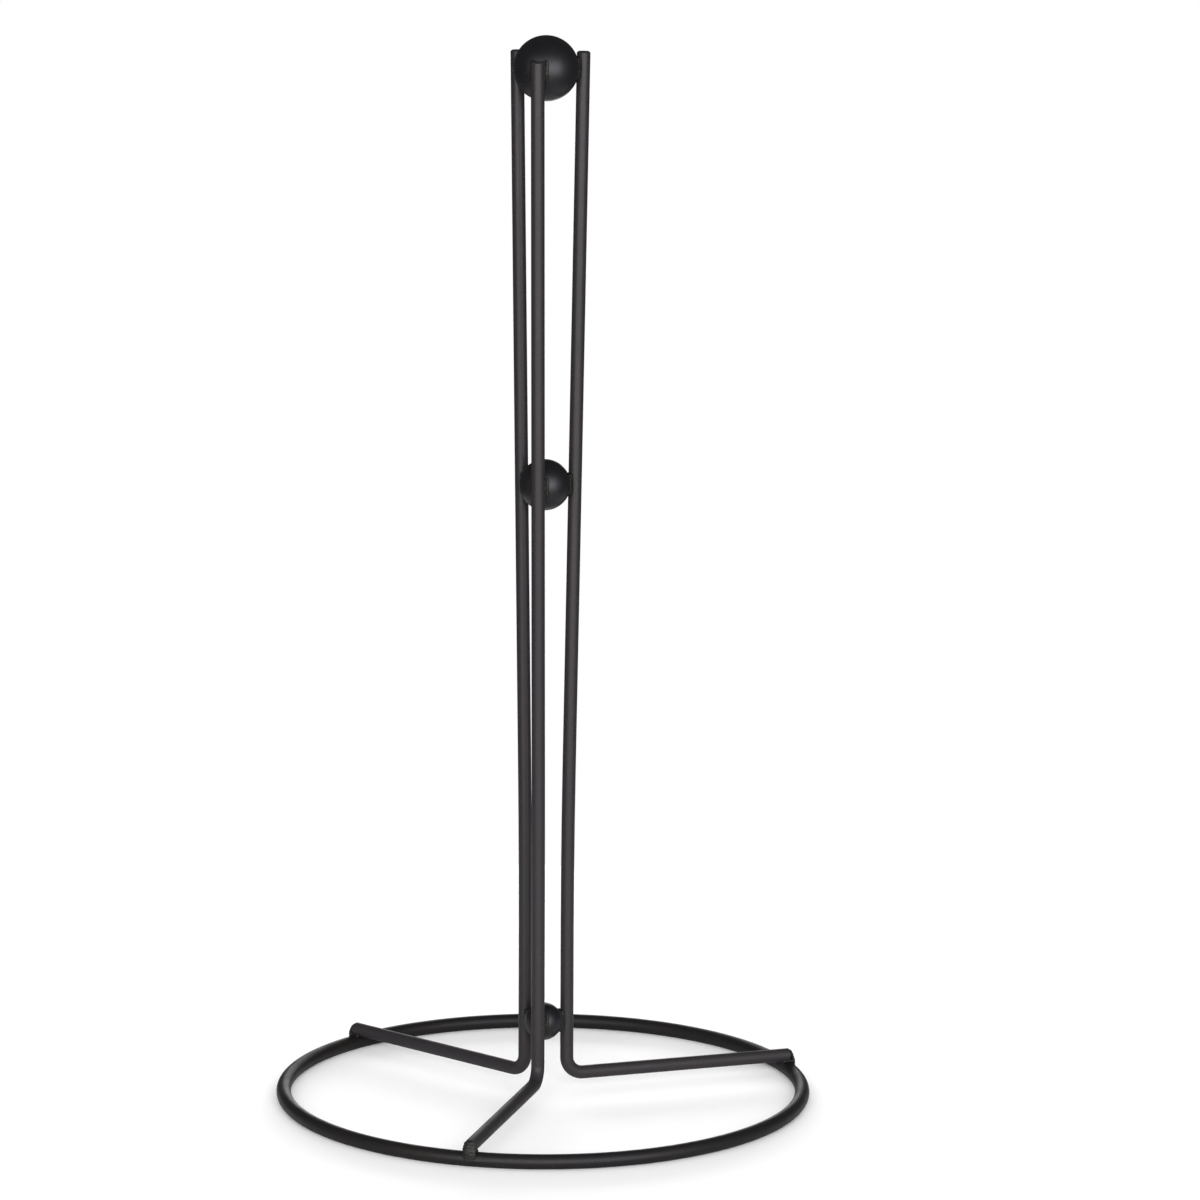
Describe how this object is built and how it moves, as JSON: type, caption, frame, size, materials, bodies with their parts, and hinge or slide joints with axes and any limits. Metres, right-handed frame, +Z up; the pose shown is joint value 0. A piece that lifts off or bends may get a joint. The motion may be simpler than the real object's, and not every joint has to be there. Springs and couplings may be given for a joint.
{
  "type": "paper towel holder",
  "caption": "Free-standing kitchen roll holder: a round wire base ring under a tall stem of bent wire rods that are welded to graded balls.",
  "frame": {"origin": "on the table, under the middle of the base ring and the stem", "axes": "+Z up along the stem, -Y towards the arm of the front rod, +X to the right seen from the front"},
  "size_m": [0.165, 0.1654, 0.3277],
  "materials": {
    "ring_wire": "semi-matte black powder coat on steel wire",
    "rod_wire": "semi-matte black powder coat on steel wire",
    "ball": "semi-matte black powder coat on a steel ball",
    "weld": "black powder coat over an uneven weld bead"
  },
  "bodies": {
    "root": {"base_ring": "ring_wire", "front_rod": "rod_wire", "right_rod": "rod_wire", "left_rod": "rod_wire", "top_ball": "ball", "middle_ball": "ball", "bottom_ball": "ball", "front_foot_weld": "weld", "right_foot_weld": "weld", "left_foot_weld": "weld", "top_ball_front_weld": "weld", "top_ball_right_weld": "weld", "top_ball_left_weld": "weld", "middle_ball_front_weld": "weld", "middle_ball_right_weld": "weld", "middle_ball_left_weld": "weld", "bottom_ball_front_weld": "weld", "bottom_ball_right_weld": "weld", "bottom_ball_left_weld": "weld"}
  },
  "joints": []
}
